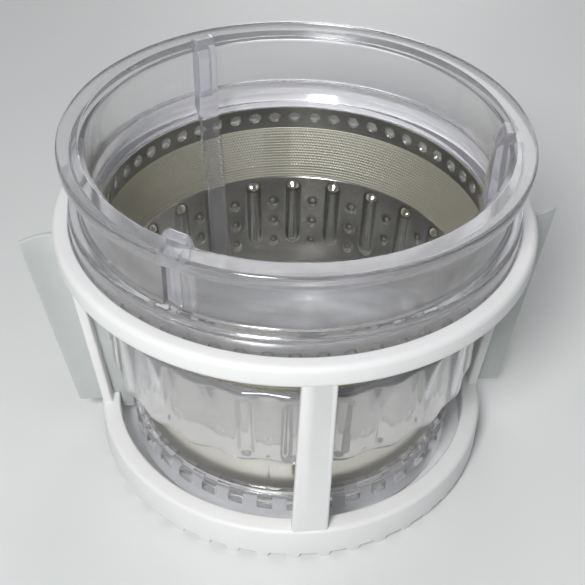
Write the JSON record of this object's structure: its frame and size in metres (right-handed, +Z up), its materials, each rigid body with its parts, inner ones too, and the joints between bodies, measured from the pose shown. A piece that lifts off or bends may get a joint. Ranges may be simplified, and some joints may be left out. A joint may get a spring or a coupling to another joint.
{
  "type": "juicer mesh screen",
  "caption": "Slow juicer strainer: a clear collar, band and base hold a fluted steel mesh sleeve, standing in a white frame that turns round it and carries silicone wipers.",
  "frame": {"origin": "on the turning axis, on the surface that the crown teeth stand on", "axes": "+Z up along the turning axis, +X towards the right wiper, -Y towards the viewer of the picture"},
  "size_m": [0.1448, 0.1272, 0.1015],
  "materials": {
    "clear_plastic": "clear moulded polymer, polished",
    "stainless": "rolled stainless sheet, pressed and pierced",
    "white_plastic": "moulded white plastic, satin",
    "silicone": "translucent silicone, matt"
  },
  "bodies": {
    "strainer": {"top_collar": "clear_plastic", "mesh_sleeve": "stainless", "clear_band": "clear_plastic", "base_cup": "clear_plastic"},
    "wiper_carrier": {"wiper_frame": "white_plastic", "wiper_right": "silicone", "wiper_left": "silicone"}
  },
  "joints": [
    {"name": "wiper_spin", "type": "hinge", "parent": "strainer", "child": "wiper_carrier", "pos_m": [0, 0, 0.071], "axis": [0, 0, 1], "continuous": true}
  ]
}
